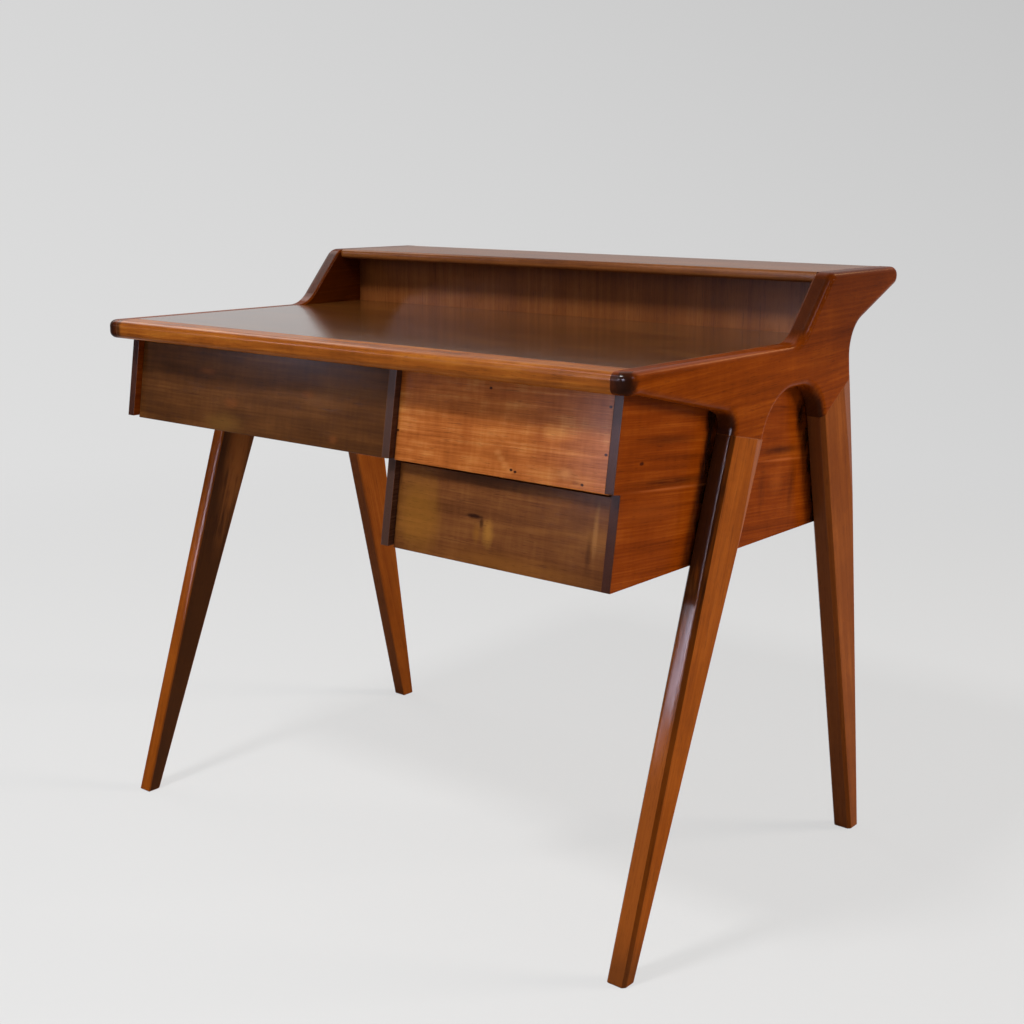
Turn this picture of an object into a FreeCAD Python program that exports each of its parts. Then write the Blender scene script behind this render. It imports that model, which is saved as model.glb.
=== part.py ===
import FreeCAD, Part
import os
from math import cos, radians, sin, tan

# Writing desk with a raised shelf, in millimetres.
# X runs to the user's right, Y from the user to the back, Z up from the floor.
# The model is drawn with Y = 0 at the front edge and moved to the middle on export.

V = FreeCAD.Vector

# Overall sizes
width = 963.0
depth = 667.0
desk_height = 760.0
shelf_rise = 89.0

# Small fits
glue_gap = 0.1
running_gap = 0.3
overrun = 10.0

# Side frames: shoulder board with nose, beam, arch and horn
board = 27.5
nose_radius = 9.5
nose_turn_radius = 18.0
inner_chamfer = 2.5
nose_length = 26.0
beam_turn_radius = 30.0
beam_drop_slope_share = 0.222
knee_radius = 20.0
slope_foot_y = 389.7
slope_foot_radius = 50.0
horn_lean_share = 0.866
horn_top_radius = 25.0
tip_height = 22.5
tip_top_radius = 12.0
tip_under_radius = 13.0
neck_rise = 8.0
neck_radius = 48.0
arch_drop = 56.0
arch_front_radius = 80.0
arch_rear_radius = 56.0

# Front legs: foot on the floor and joint under the beam
front_foot_y = 15.0
front_foot_length = 21.5
front_joint_y = 226.0
front_joint_under_top = 99.0
front_joint_length = 76.0
front_joint_drop = 15.0

# Rear legs
rear_foot_y = 612.5
rear_foot_length = 25.0
rear_joint_y = 459.0
rear_joint_under_top = 105.5
rear_joint_length = 77.0
rear_joint_rise = 51.5

# Facets of the legs
foot_thickness = 27.0
outer_facet = 6.0
outer_facet_foot = 4.5
inner_facet = 2.8
inner_facet_foot = 1.2
rear_facet_depth = 3.5
rear_facet_length = 25.0
rear_facet_under_top = 260.0
rear_round = 2.5
foot_chamfer = 1.5

# Loose tenons between legs and shoulder boards
leg_tenon_thickness = 8.0
leg_tenon_width = 44.0
leg_tenon_length = 50.0

# Desktop, front rail and their loose tongue
top_thickness = 27.0
rail_depth = 40.0
tongue_thickness = 6.0
tongue_depth = 16.0
tongue_inset = 30.0
top_tenon_thickness = 8.0
top_tenon_width = 60.0
rail_tenon_width = 18.0
top_tenon_place_shares = (0.2, 0.5, 0.85)
tenon_reach = 18.0
tenon_bite = 14.0

# Upper shelf
shelf_thickness = 15.0
shelf_front_y = 470.0
shelf_rear_y = 650.0
lipping_depth = 18.0
lipping_radius = 6.0
shelf_tenon_thickness = 5.0
shelf_tenon_width_share = 0.55

# Back panel of niche and cases
back_y = 514.0
back_thickness = 12.0
back_tenon_thickness = 5.0
back_tenon_margin = 2.0

# Case: sides and partition with the saw-tooth front edge
side_thickness = 13.0
frame_gap = 1.0
partition_left = 83.0
tier_height = 116.5
front_rake = radians(8.6)
upper_toe_y = 13.0
lower_toe_y = 9.0
panel_thickness = 10.0
panel_setback = 62.0

# Drawer fronts
front_recess = 10.0
front_thickness = 14.0
front_drop = 3.5
front_side_gap = 0.8
front_top_gap = 2.0
front_reveal = 2.4
front_edge_round = 1.2
cove_radius = 4.0

# Drawer boxes
box_height = 93.0
box_lift = 3.5
box_side_gap = 1.5
box_side = 10.0
box_back = 10.0
box_rear_y = 480.0
box_bottom = 4.0
bottom_lift = 8.0
bottom_groove = 5.0

# Dovetails between drawer sides and fronts
tail_depth = 9.0
tail_root = 12.0
tail_flare = 1.5
tail_place_shares = (0.27, 0.56, 0.85)

# Runners, kickers and stops
runner_height = 10.0
runner_bite = 5.0
runner_front_y = 80.0
runner_rear_y = 505.0
runner_housing = 2.0
kicker_width = 16.0
kicker_height = 9.0
kicker_front_y = 74.0
stop_width = 24.0
stop_depth = 12.0
stop_height = 18.0
stop_inset = 50.0

# Places that follow from the sizes above
outer_x = width / 2
inner_x = outer_x - board
outer_round = nose_radius
shelf_height = desk_height + shelf_rise
top_under = desk_height - top_thickness
shelf_under = shelf_height - shelf_thickness
case_x = inner_x - frame_gap
step_z = top_under - tier_height
case_bottom = step_z - tier_height
rake_share = tan(front_rake)
neck_z = desk_height + neck_rise
arch_z = desk_height - arch_drop
rear_facet_low_z = desk_height - rear_facet_under_top
front_joint_z = desk_height - front_joint_under_top
rear_joint_z = desk_height - rear_joint_under_top
back_tenon_width = shelf_rise - shelf_thickness - 2 * back_tenon_margin
front_joint = (front_joint_y, front_joint_z)
front_joint_end = (front_joint_y + front_joint_length, front_joint_z - front_joint_drop)
rear_joint = (rear_joint_y, rear_joint_z)
rear_joint_end = (rear_joint_y + rear_joint_length, rear_joint_z + rear_joint_rise)


def box(low, high):
    """Block between two opposite corners."""
    size = [b - a for a, b in zip(low, high)]
    return Part.makeBox(size[0], size[1], size[2], V(*low))


def y_on_line(low, high, z):
    """Y of the straight line through two (y, z) points, at height z."""
    share = (z - low[1]) / (high[1] - low[1])
    return low[0] + share * (high[0] - low[0])


def corner_arc(before, corner, after, radius):
    """Start, middle and end of the tangent arc that rounds one corner."""
    back = (before - corner).normalize()
    ahead = (after - corner).normalize()
    half = back.getAngle(ahead) / 2
    bisector = (back + ahead).normalize()
    centre = corner + bisector * (radius / sin(half))
    reach = radius / tan(half)
    return corner + back * reach, centre - bisector * radius, corner + ahead * reach


def outline(corners):
    """Flat face in the YZ plane from corners (y, z, rounding radius)."""
    points = [V(0, y, z) for y, z, _ in corners]
    arcs = []
    for i, (_, _, radius) in enumerate(corners):
        after = points[(i + 1) % len(points)]
        if radius:
            arcs.append(corner_arc(points[i - 1], points[i], after, radius))
        else:
            arcs.append((points[i], None, points[i]))
    edges = []
    for i, (start, middle, end) in enumerate(arcs):
        edges.append(Part.LineSegment(arcs[i - 1][2], start).toShape())
        if middle:
            edges.append(Part.Arc(start, middle, end).toShape())
    return Part.Face(Part.Wire(edges))


def plate(corners, low_x, high_x):
    """Board of a given outline between two X planes."""
    face = outline(corners)
    face.translate(V(low_x, 0, 0))
    return face.extrude(V(high_x - low_x, 0, 0))


def beyond_plane(a, b, c):
    """Large block beyond the plane through three points, which run clockwise seen from outside."""
    out = (c - a).cross(b - a)
    block = Part.makeBox(2 * width, 2 * width, width, V(-width, -width, 0))
    block.Placement = FreeCAD.Placement(a, FreeCAD.Rotation(V(0, 0, 1), out))
    return block


def mirrored(shape):
    """The same piece on the other side of the desk."""
    return shape.mirror(V(0, 0, 0), V(1, 0, 0))


def group(shapes):
    """Several separate solids kept in one node."""
    return Part.Compound(shapes)


def cut_all(shape, tools):
    """Shape with every tool removed."""
    return shape.cut(Part.Compound(tools)) if tools else shape


def save(name, shape):
    """Move the piece to the part's own origin and write its file."""
    placed = shape.copy()
    placed.translate(V(0, -depth / 2, 0))
    placed.exportStep("parts/" + name + ".step")


# Shoulder board

def front_leg_front(z):
    return y_on_line((front_foot_y, 0), front_joint, z)


def front_leg_rear(z):
    return y_on_line((front_foot_y + front_foot_length, 0), front_joint_end, z)


def rear_leg_front(z):
    return y_on_line((rear_foot_y, 0), rear_joint, z)


def rear_leg_rear(z):
    return y_on_line((rear_foot_y + rear_foot_length, 0), rear_joint_end, z)


def knee_corner():
    """Where the underside of the beam meets the front line of the leg."""
    lean = (front_joint_y - front_foot_y) / front_joint_z
    fall = beam_drop_slope_share
    z = (top_under + fall * (nose_length - front_foot_y)) / (1 + fall * lean)
    return front_leg_front(z), z


def shoulder_corners():
    """Corners of the shoulder board behind its nose, clockwise from the top of the beam."""
    horn_front_y = slope_foot_y + horn_lean_share * (shelf_height - desk_height)
    knee_y, knee_z = knee_corner()
    return [
        (nose_turn_radius, desk_height, 0),
        (slope_foot_y, desk_height, slope_foot_radius),
        (horn_front_y, shelf_height, horn_top_radius),
        (depth, shelf_height, tip_top_radius),
        (depth, shelf_height - tip_height, tip_under_radius),
        (rear_leg_rear(neck_z), neck_z, neck_radius),
        (*rear_joint_end, 0),
        (*rear_joint, 0),
        (rear_leg_front(arch_z), arch_z, arch_rear_radius),
        (front_leg_rear(arch_z), arch_z, arch_front_radius),
        (*front_joint_end, 0),
        (*front_joint, 0),
        (knee_y, knee_z, knee_radius),
        (nose_length, top_under, beam_turn_radius),
        (nose_turn_radius, top_under, 0),
    ]


def joint_middle(start, end):
    return (start[0] + end[0]) / 2, (start[1] + end[1]) / 2


def arris_edges(shape, x):
    """Edges of a board on one of its faces, without the two leg joints and the nose joint."""
    middles = [joint_middle(front_joint, front_joint_end), joint_middle(rear_joint, rear_joint_end)]
    found = []
    for edge in shape.Edges:
        flat = all(abs(v.X - x) < glue_gap for v in edge.Vertexes)
        centre = edge.CenterOfMass
        joint = any(V(0, centre.y - y, centre.z - z).Length < board for y, z in middles)
        straight = isinstance(edge.Curve, Part.Line)
        at_nose = abs(centre.y - nose_turn_radius) < glue_gap
        if flat and abs(centre.x - x) < glue_gap and not at_nose and not (joint and straight):
            found.append(edge)
    return found


def flush_zones():
    """Where the inner face meets desktop, rail and shelf and keeps a sharp arris."""
    slope_start_y = slope_foot_y - slope_foot_radius / 2
    chamfer_x = inner_x + inner_chamfer
    top_zone = box((inner_x, 0, knee_corner()[1]), (chamfer_x, slope_start_y, desk_height))
    shelf_zone = box((inner_x, shelf_front_y + lipping_radius, shelf_under),
                     (chamfer_x, shelf_rear_y, shelf_height))
    return [top_zone, shelf_zone]


def leg_tenon(start, end, gap):
    """Loose tenon across a leg joint, or its mortise when a gap is given."""
    along = V(0, end[0] - start[0], end[1] - start[1])
    middle = V(0, start[0], start[1]) + along / 2
    along.normalize()
    across = V(0, along.z, -along.y)
    half_width = along * (leg_tenon_width / 2 + gap)
    half_length = across * (leg_tenon_length / 2 + gap)
    points = [middle + half_width + half_length, middle + half_width - half_length,
              middle - half_width - half_length, middle - half_width + half_length]
    half_thickness = leg_tenon_thickness / 2 + gap
    middle_x = outer_x - board / 2
    return plate([(p.y, p.z, 0) for p in points], middle_x - half_thickness, middle_x + half_thickness)


def leg_tenons_right(gap):
    return [leg_tenon(front_joint, front_joint_end, gap), leg_tenon(rear_joint, rear_joint_end, gap)]


def frame_tenon(middle_y, middle_z, size_y, size_z, gap):
    """Loose tenon through the inner face of the right frame, or its mortise."""
    low = (inner_x - tenon_reach - gap, middle_y - size_y / 2 - gap, middle_z - size_z / 2 - gap)
    high = (inner_x + tenon_bite + gap, middle_y + size_y / 2 + gap, middle_z + size_z / 2 + gap)
    return box(low, high)


def top_tenons_right(gap):
    """Tenons at the end of the front rail and of the desktop."""
    z = desk_height - top_thickness / 2
    rail = frame_tenon(rail_depth / 2, z, rail_tenon_width, top_tenon_thickness, gap)
    return [rail] + [frame_tenon(back_y * share, z, top_tenon_width, top_tenon_thickness, gap)
                     for share in top_tenon_place_shares]


def shelf_tenons_right(gap):
    front_y = shelf_front_y + lipping_depth
    y = (front_y + shelf_rear_y) / 2
    z = shelf_height - shelf_thickness / 2
    tenon_width = (shelf_rear_y - front_y) * shelf_tenon_width_share
    return [frame_tenon(y, z, tenon_width, shelf_tenon_thickness, gap)]


def back_tenons_right(gap):
    """Tenon at the end of the back panel, between desktop and shelf."""
    y = back_y + back_thickness / 2
    z = (desk_height + shelf_under) / 2
    return [frame_tenon(y, z, back_tenon_thickness, back_tenon_width, gap)]


def nose():
    """Head of the beam: a straight part flush with the rail, and a corner turned about an upright axis."""
    turn_x = outer_x - nose_turn_radius
    section = outline([
        (0, desk_height, nose_radius),
        (nose_turn_radius, desk_height, 0),
        (nose_turn_radius, top_under, 0),
        (0, top_under, nose_radius),
    ])
    section.translate(V(turn_x, 0, 0))
    straight = section.extrude(V(inner_x - turn_x, 0, 0))
    quarter_turn = 90
    turned = section.revolve(V(turn_x, nose_turn_radius, 0), V(0, 0, 1), quarter_turn)
    return straight.fuse(turned)


def shoulder():
    """Right shoulder board: nose, beam, arch, horn and rear tip."""
    sharp = plate(shoulder_corners(), inner_x, outer_x)
    soft = sharp.makeChamfer(inner_chamfer, arris_edges(sharp, inner_x))
    for zone in flush_zones():
        soft = soft.fuse(sharp.common(zone))
    soft = soft.removeSplitter()
    soft = soft.makeFillet(outer_round, arris_edges(soft, outer_x))
    soft = soft.fuse(nose())
    mortises = leg_tenons_right(glue_gap) + top_tenons_right(glue_gap)
    mortises += shelf_tenons_right(glue_gap) + back_tenons_right(glue_gap)
    return cut_all(soft, mortises)


# Legs

def leg_head_z():
    """Height at which the sizes of the facets are given for the head of a leg."""
    return rear_joint_z + rear_joint_rise


def inner_taper():
    """Block that thins the leg from inside towards the foot."""
    thin_x = outer_x - foot_thickness
    return beyond_plane(V(thin_x, 0, 0), V(thin_x, depth, 0), V(inner_x, 0, leg_head_z()))


def front_facets(front_line):
    """Blocks that plane the two long front corners to flat facets."""
    z = leg_head_z()
    thin_x = outer_x - foot_thickness
    foot_y = front_line(0)
    outer = beyond_plane(V(outer_x, foot_y + outer_facet_foot, 0), V(outer_x - outer_facet_foot, foot_y, 0),
                         V(outer_x - outer_facet, front_line(z), z))
    inner = beyond_plane(V(thin_x + inner_facet_foot, foot_y, 0), V(thin_x, foot_y + inner_facet_foot, 0),
                         V(inner_x, front_line(z) + inner_facet, z))
    return [outer, inner]


def rear_facet(rear_line):
    """Block that planes the thin facet high on the outer rear corner."""
    z = leg_head_z()
    low = V(outer_x, rear_line(rear_facet_low_z), rear_facet_low_z)
    side = V(outer_x, rear_line(z) - rear_facet_length, z)
    back = V(outer_x - rear_facet_depth, rear_line(z), z)
    return beyond_plane(low, side, back)


def long_edges(shape, rear_line):
    """The two long edges at the rear of a leg."""
    return [e for e in shape.Edges
            if all(abs(v.Y - rear_line(v.Z)) < glue_gap for v in e.Vertexes)
            and abs(e.Vertexes[0].Z - e.Vertexes[-1].Z) > board]


def leg(front_line, rear_line, joint_start, joint_end):
    """Tapered leg with planed facets, cut off at the joint under the shoulder board."""
    corners = [(front_line(0), 0, 0), (rear_line(0), 0, 0), (*joint_end, 0), (*joint_start, 0)]
    blank = plate(corners, inner_x, outer_x).cut(inner_taper())
    rounded = blank.makeFillet(rear_round, long_edges(blank, rear_line))
    planed = cut_all(rounded, front_facets(front_line) + [rear_facet(rear_line)])
    floor_edges = [e for e in planed.Edges if max(v.Z for v in e.Vertexes) < glue_gap]
    eased = planed.makeChamfer(foot_chamfer, floor_edges)
    return cut_all(eased, leg_tenons_right(glue_gap))


# Desktop, rail and shelf

def tongue(gap):
    """Loose tongue between rail and desktop, or its groove when a gap is given."""
    middle_z = desk_height - top_thickness / 2
    half = tongue_thickness / 2 + gap
    reach = tongue_depth / 2 + gap
    end = inner_x - tongue_inset + gap
    return box((-end, rail_depth - reach, middle_z - half), (end, rail_depth + reach, middle_z + half))


def front_rail():
    """Bullnose rail along the front edge of the desktop."""
    corners = [
        (0, desk_height, nose_radius),
        (rail_depth, desk_height, 0),
        (rail_depth, top_under, 0),
        (0, top_under, nose_radius),
    ]
    return plate(corners, -inner_x, inner_x)


def desktop():
    return box((-inner_x, rail_depth, top_under), (inner_x, back_y, desk_height))


def shelf_lipping():
    """Rounded solid edge along the front of the shelf."""
    corners = [
        (shelf_front_y, shelf_height, lipping_radius),
        (shelf_front_y + lipping_depth, shelf_height, 0),
        (shelf_front_y + lipping_depth, shelf_under, 0),
        (shelf_front_y, shelf_under, lipping_radius),
    ]
    return plate(corners, -inner_x, inner_x)


def shelf():
    return box((-inner_x, shelf_front_y + lipping_depth, shelf_under), (inner_x, shelf_rear_y, shelf_height))


# Back panels

def back_panel():
    """Upright board behind the niche and the upper row of drawers."""
    return box((-inner_x, back_y, step_z), (inner_x, back_y + back_thickness, shelf_under))


def pedestal_back():
    return box((partition_left, back_y, case_bottom), (case_x, back_y + back_thickness, step_z))


# Case

def cheek_y(z, toe_y, toe_z):
    """Front line of a case side at height z, for one tier of drawers."""
    return toe_y + (z - toe_z) * rake_share


def tall_side_corners():
    """Saw-tooth side of the pedestal: the lower tier steps back under the upper."""
    step_y = cheek_y(step_z, lower_toe_y, case_bottom)
    undercut = (step_y - upper_toe_y) * rake_share
    return [
        (cheek_y(top_under, upper_toe_y, step_z), top_under, 0),
        (back_y, top_under, 0),
        (back_y, case_bottom, 0),
        (lower_toe_y, case_bottom, 0),
        (step_y, step_z - undercut, 0),
        (upper_toe_y, step_z, 0),
    ]


def short_side_corners():
    """Side of the left bay, one drawer high."""
    return [
        (cheek_y(top_under, upper_toe_y, step_z), top_under, 0),
        (back_y, top_under, 0),
        (back_y, step_z, 0),
        (upper_toe_y, step_z, 0),
    ]


def bay_panel(low_x, high_x, z):
    """Bottom of a bay, set back so that fingers reach behind the drawer front."""
    return box((low_x, panel_setback, z), (high_x, back_y, z + panel_thickness))


# Bays: each holds one drawer between two sides

left_bay = {"low": -case_x + side_thickness, "high": partition_left, "floor": step_z,
            "toe": upper_toe_y, "ceiling": top_under}
upper_bay = {"low": partition_left + side_thickness, "high": case_x - side_thickness,
             "floor": step_z, "toe": upper_toe_y, "ceiling": top_under}
lower_bay = {"low": partition_left + side_thickness, "high": case_x - side_thickness,
             "floor": case_bottom, "toe": lower_toe_y, "ceiling": step_z}


def runner_z(bay):
    """Underside of the runner strips: half way up the drawer box."""
    return bay["floor"] + panel_thickness + box_lift + (box_height - runner_height) / 2


def runner_strips(bay, gap):
    """Strips housed in the case sides that the drawer hangs on, or their grooves."""
    z = runner_z(bay)
    reach = box_side_gap + runner_bite + gap
    housed = runner_housing + gap
    low_y = runner_front_y - gap
    left = box((bay["low"] - housed, low_y, z - gap),
               (bay["low"] + reach, runner_rear_y, z + runner_height + gap))
    right = box((bay["high"] - reach, low_y, z - gap),
                (bay["high"] + housed, runner_rear_y, z + runner_height + gap))
    return [left, right]


def kicker_strips(bay):
    """Strips above the drawer that keep it level when it is pulled out."""
    z = bay["ceiling"]
    left = box((bay["low"], kicker_front_y, z - kicker_height), (bay["low"] + kicker_width, back_y, z))
    right = box((bay["high"] - kicker_width, kicker_front_y, z - kicker_height), (bay["high"], back_y, z))
    return [left, right]


def drawer_stops(bay):
    """Two glued blocks that the closed drawer runs against."""
    z = bay["floor"] + panel_thickness
    near = box_rear_y + running_gap
    blocks = []
    for x in (bay["low"] + stop_inset, bay["high"] - stop_inset - stop_width):
        blocks.append(box((x, near, z), (x + stop_width, near + stop_depth, z + stop_height)))
    return blocks


# Drawers

def front_plane(bay):
    """Foot of the drawer face and the directions up the face and into the case."""
    foot_z = bay["floor"] - front_drop
    foot_y = cheek_y(foot_z, bay["toe"], bay["floor"]) + front_recess
    up = V(0, sin(front_rake), cos(front_rake))
    inward = V(0, cos(front_rake), -sin(front_rake))
    return V(0, foot_y, foot_z), up, inward


def front_length(bay):
    """Length of the drawer front up its slope."""
    foot, up, inward = front_plane(bay)
    if bay["ceiling"] == top_under:
        head_z = bay["ceiling"] - front_top_gap
    else:
        head_z = bay["ceiling"] - front_drop - front_thickness * sin(front_rake) - front_reveal
    return (head_z - foot.z) / up.z


def front_corners(bay):
    """Section of a drawer front as (y, z, radius) corners."""
    foot, up, inward = front_plane(bay)
    length = front_length(bay)
    points = [foot, foot + up * length, foot + up * length + inward * front_thickness,
              foot + inward * front_thickness]
    radii = [front_edge_round, front_edge_round, 0, 0]
    return [(p.y, p.z, r) for p, r in zip(points, radii)]


def box_x(bay):
    """Outer faces of the drawer box."""
    return bay["low"] + box_side_gap, bay["high"] - box_side_gap


def box_z(bay):
    low = bay["floor"] + panel_thickness + box_lift
    return low, low + box_height


def back_of_front(bay, z):
    """Y of the rear face of the drawer front at height z."""
    foot, up, inward = front_plane(bay)
    at_foot = foot + inward * front_thickness
    return at_foot.y + (z - at_foot.z) * rake_share


def tail_plates(bay, gap):
    """Dovetails of both drawer sides, or their sockets when a gap is given."""
    foot, up, inward = front_plane(bay)
    root_line = foot + inward * front_thickness
    length = front_length(bay)
    low_x, high_x = box_x(bay)
    plates = []
    for share in tail_place_shares:
        middle = root_line + up * (length * share)
        tip = middle - inward * (tail_depth + gap)
        half_root = up * (tail_root / 2 + gap)
        half_tip = up * (tail_root / 2 + tail_flare + gap)
        points = [middle - half_root, middle + half_root, tip + half_tip, tip - half_tip]
        corners = [(p.y, p.z, 0) for p in points]
        plates.append(plate(corners, low_x - gap, low_x + box_side + gap))
        plates.append(plate(corners, high_x - box_side - gap, high_x + gap))
    return plates


def bottom_board(bay, gap):
    """Thin bottom in its grooves, or the space that the grooves leave for it."""
    low_x, high_x = box_x(bay)
    z = box_z(bay)[0] + bottom_lift
    front_y = back_of_front(bay, z) - bottom_groove
    edge = box_side - bottom_groove - gap
    return box((low_x + edge, front_y - gap, z - gap),
               (high_x - edge, box_rear_y, z + box_bottom + gap))


def drawer_front(bay):
    """Sloping front with sockets for the dovetails and a finger cove under its lower edge."""
    foot, up, inward = front_plane(bay)
    low_x = bay["low"] + front_side_gap
    high_x = bay["high"] - front_side_gap
    board_solid = plate(front_corners(bay), low_x, high_x)
    cove_start = foot + inward * (front_thickness - cove_radius / 2) + V(low_x - overrun, 0, 0)
    cove = Part.makeCylinder(cove_radius, high_x - low_x + 2 * overrun, cove_start, V(1, 0, 0))
    return cut_all(board_solid, [cove, bottom_board(bay, glue_gap)] + tail_plates(bay, glue_gap))


def drawer_side(bay, right):
    """Side of the box, dovetailed into the sloping front, with the runner groove."""
    low_z, high_z = box_z(bay)
    low_x, high_x = box_x(bay)
    corners = [(back_of_front(bay, low_z), low_z, 0), (back_of_front(bay, high_z), high_z, 0),
               (box_rear_y, high_z, 0), (box_rear_y, low_z, 0)]
    side_x = high_x - box_side if right else low_x
    solid = plate(corners, side_x, side_x + box_side)
    solid = solid.fuse([tail for tail in tail_plates(bay, 0) if abs(tail.BoundBox.XMin - side_x) < glue_gap])
    tools = runner_strips(bay, running_gap) + [bottom_board(bay, glue_gap)]
    return cut_all(solid.removeSplitter(), tools)


def drawer_back(bay):
    """Back of the box, standing on the bottom board between the sides."""
    low_x, high_x = box_x(bay)
    low_z, high_z = box_z(bay)
    foot_z = low_z + bottom_lift + box_bottom
    return box((low_x + box_side, box_rear_y - box_back, foot_z), (high_x - box_side, box_rear_y, high_z))


# Build and write every piece

def both_sides(shapes):
    return shapes + [mirrored(s) for s in shapes]


def save_pair(name, shape):
    """Write a piece of the right side frame and its mirror image on the left."""
    save(name + "_right", shape)
    save(name + "_left", mirrored(shape))


os.makedirs("parts", exist_ok=True)

save_pair("shoulder", shoulder())
save_pair("front_leg", leg(front_leg_front, front_leg_rear, front_joint, front_joint_end))
save_pair("rear_leg", leg(rear_leg_front, rear_leg_rear, rear_joint, rear_joint_end))

save("leg_tenons", group(both_sides(leg_tenons_right(0))))
save("top_tenons", group(both_sides(top_tenons_right(0))))
save("shelf_tenons", group(both_sides(shelf_tenons_right(0))))
save("back_tenons", group(both_sides(back_tenons_right(0))))

top_mortises = both_sides(top_tenons_right(glue_gap)) + [tongue(glue_gap)]
save("front_rail", cut_all(front_rail(), top_mortises))
save("rail_tongue", tongue(0))
save("desktop", cut_all(desktop(), top_mortises))
save("upper_shelf", cut_all(shelf(), both_sides(shelf_tenons_right(glue_gap))))
save("shelf_lipping", shelf_lipping())
save("back_panel", cut_all(back_panel(), both_sides(back_tenons_right(glue_gap))))
save("pedestal_back", pedestal_back())

bays = {"left": left_bay, "upper": upper_bay, "lower": lower_bay}
housings = []
for bay in bays.values():
    housings += runner_strips(bay, glue_gap)
save("case_side_right", cut_all(plate(tall_side_corners(), upper_bay["high"], case_x), housings))
save("partition", cut_all(plate(tall_side_corners(), left_bay["high"], upper_bay["low"]), housings))
save("case_side_left", cut_all(plate(short_side_corners(), -case_x, left_bay["low"]), housings))
save("left_bay_bottom", bay_panel(left_bay["low"], left_bay["high"], left_bay["floor"]))
save("pedestal_divider", bay_panel(upper_bay["low"], upper_bay["high"], upper_bay["floor"]))
save("pedestal_bottom", bay_panel(lower_bay["low"], lower_bay["high"], lower_bay["floor"]))

kickers = []
stops = []
for name, bay in bays.items():
    save("runners_" + name, group(runner_strips(bay, 0)))
    kickers += kicker_strips(bay)
    stops += drawer_stops(bay)
save("kicker_strips", group(kickers))
save("drawer_stops", group(stops))

for name, bay in bays.items():
    save(name + "_drawer_front", drawer_front(bay))
    save(name + "_drawer_side_left", drawer_side(bay, False))
    save(name + "_drawer_side_right", drawer_side(bay, True))
    save(name + "_drawer_back", drawer_back(bay))
    save(name + "_drawer_bottom", bottom_board(bay, 0))
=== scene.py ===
# %% [markdown]
# # A walnut writing desk with a raised shelf
# This notebook dresses the solid model of a small writing desk of about 1955: two sculpted
# side frames with tapered legs, a flat desktop with a rounded front rail, a hanging case with
# three sloping drawers and a narrow shelf on top. The solid model is loaded first and is never
# moved or given a new shape. Everything after that is camera, light and finish.

# %% Load the solid model
import math
import bpy
import bmesh
from mathutils import Matrix, Vector

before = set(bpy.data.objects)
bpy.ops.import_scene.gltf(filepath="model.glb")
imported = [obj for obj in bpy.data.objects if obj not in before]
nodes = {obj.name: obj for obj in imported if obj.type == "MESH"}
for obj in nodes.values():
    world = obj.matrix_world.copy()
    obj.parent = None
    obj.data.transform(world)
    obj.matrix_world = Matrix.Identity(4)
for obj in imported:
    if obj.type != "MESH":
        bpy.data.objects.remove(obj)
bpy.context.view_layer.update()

# %% [markdown]
# ## The camera
# The photograph was taken from the front right, a little above the desktop. A camera could be
# pushed about by hand until the picture looks right. Here its place and its turn were fitted to
# known lines of the desk, so they are plain numbers. It is then set up from three unit vectors:
# where it looks, what is to its right and what is up. They are the columns of its matrix.

# %% Camera
photo_size = 1024
focal_pixels = 1487.54
sensor_width = 36.0
camera_place = Vector((1.4192, -1.6823, 0.9732))
camera_yaw = math.radians(39.3505)
camera_pitch = math.radians(-12.7346)
camera_roll = math.radians(0.2249)

forward = Vector((-math.sin(camera_yaw) * math.cos(camera_pitch),
                  math.cos(camera_yaw) * math.cos(camera_pitch),
                  math.sin(camera_pitch)))
level_right = Vector((math.cos(camera_yaw), math.sin(camera_yaw), 0))
level_up = level_right.cross(forward)
right = level_right * math.cos(camera_roll) + level_up * math.sin(camera_roll)
up = level_up * math.cos(camera_roll) - level_right * math.sin(camera_roll)

camera = bpy.data.objects.new("camera", bpy.data.cameras.new("camera"))
bpy.context.scene.collection.objects.link(camera)
camera.data.sensor_width = sensor_width
camera.data.lens = focal_pixels / photo_size * sensor_width
camera.matrix_world = Matrix(((right.x, up.x, -forward.x, camera_place.x),
                              (right.y, up.y, -forward.y, camera_place.y),
                              (right.z, up.z, -forward.z, camera_place.z),
                              (0, 0, 0, 1)))
bpy.context.scene.camera = camera
bpy.context.scene.view_settings.view_transform = "Standard"
print("lens", round(camera.data.lens, 2), "mm")

# %% [markdown]
# ## Two small helpers for every material
# Colours are written as the hex values that a picture editor shows. Blender's sockets work in
# linear light, so one function turns the one into the other. A second function adds a node,
# sets it up and joins its sockets in one line: a value that is a node or a socket becomes a link.

# %% Colour and node helpers
def linear(tone):
    """Linear light of an sRGB hex colour such as D9D6D2."""
    shares = [int(tone[i:i + 2], 16) / 255 for i in (0, 2, 4)]
    return [s / 12.92 if s <= 0.04045 else ((s + 0.055) / 1.055) ** 2.4 for s in shares] + [1]


def add(tree, kind, inputs=None, **settings):
    """A new node with its settings made and its inputs set or linked."""
    node = tree.nodes.new("ShaderNode" + kind)
    for name, value in settings.items():
        setattr(node, name, value)
    for socket, value in (inputs or {}).items():
        if isinstance(value, bpy.types.Node):
            value = value.outputs[0]
        if isinstance(value, bpy.types.NodeSocket):
            tree.links.new(value, node.inputs[socket])
        else:
            node.inputs[socket].default_value = value
    return node


print("pale grey D8D8D8 is", round(linear("D8D8D8")[0], 3), "in linear light")

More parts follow.
